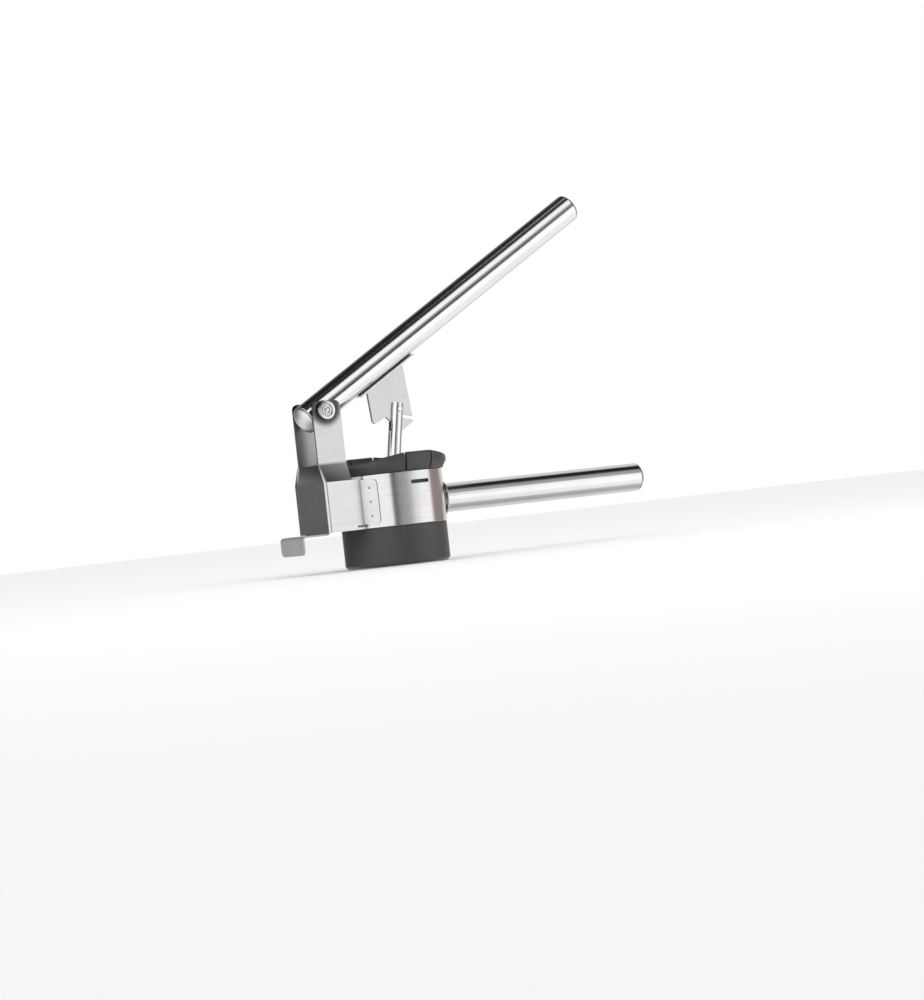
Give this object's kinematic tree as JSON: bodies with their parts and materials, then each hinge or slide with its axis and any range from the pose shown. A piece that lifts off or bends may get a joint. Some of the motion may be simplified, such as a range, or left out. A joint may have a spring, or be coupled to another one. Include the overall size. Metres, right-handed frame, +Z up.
{
  "type": "potato ricer",
  "caption": "Lever potato ricer: steel collar on a folded yoke, drop-in plastic cup with a pierced base, and a tube lever driving a round press plate.",
  "frame": {"origin": "middle of the cup's foot, on the surface the ricer stands on", "axes": "+Z up along the cup, +X from the cup to the free ends of both handles, Y along the lever's pivot pin"},
  "size_m": [0.3414, 0.0938, 0.2881],
  "materials": {
    "brushed_steel": "vertical satin brushing",
    "polished_steel": "polished tube",
    "blasted_steel": "dull, bead blasted",
    "black_plastic": "satin moulded"
  },
  "bodies": {
    "body": {"collar_band": "brushed_steel", "rear_yoke": "brushed_steel", "insert_cup": "black_plastic", "sieve_disc": "brushed_steel", "pot_rest": "blasted_steel", "handle_flange": "brushed_steel", "handle_tube": "polished_steel", "handle_end_cap": "brushed_steel", "pivot_pin": "polished_steel", "pivot_cap": "polished_steel"},
    "lever": {"lever_tube": "polished_steel", "lever_front_cap": "brushed_steel", "lever_rear_cap": "polished_steel", "pivot_sleeve": "brushed_steel", "pivot_bush_near": "black_plastic", "pivot_bush_far": "black_plastic", "bracket_strip": "brushed_steel", "bracket_plate": "brushed_steel"},
    "plunger": {"plunger_stem": "polished_steel", "cross_pin": "polished_steel", "stem_foot": "brushed_steel", "foot_pin": "brushed_steel"},
    "press": {"press_plate": "brushed_steel", "foot_clevis": "brushed_steel"}
  },
  "joints": [
    {"name": "lever_hinge", "type": "hinge", "parent": "body", "child": "lever", "pos_m": [-0.0615, 0, 0.1276], "axis": [0, -1, 0], "range_deg": [-29, 38]},
    {"name": "plunger_hinge", "type": "hinge", "parent": "lever", "child": "plunger", "pos_m": [0.014, 0, 0.1239], "axis": [0, -1, 0], "range_deg": [-36.5, 28]},
    {"name": "press_slide", "type": "slide", "parent": "body", "child": "press", "axis": [0, 0, 1], "range_m": [-0.0362, 0.0472]}
  ],
  "couplings": [
    {"joint": "plunger_hinge", "follows": "lever_hinge", "ratio": -0.95},
    {"joint": "press_slide", "follows": "lever_hinge", "m_per_rad": 0.0707}
  ]
}
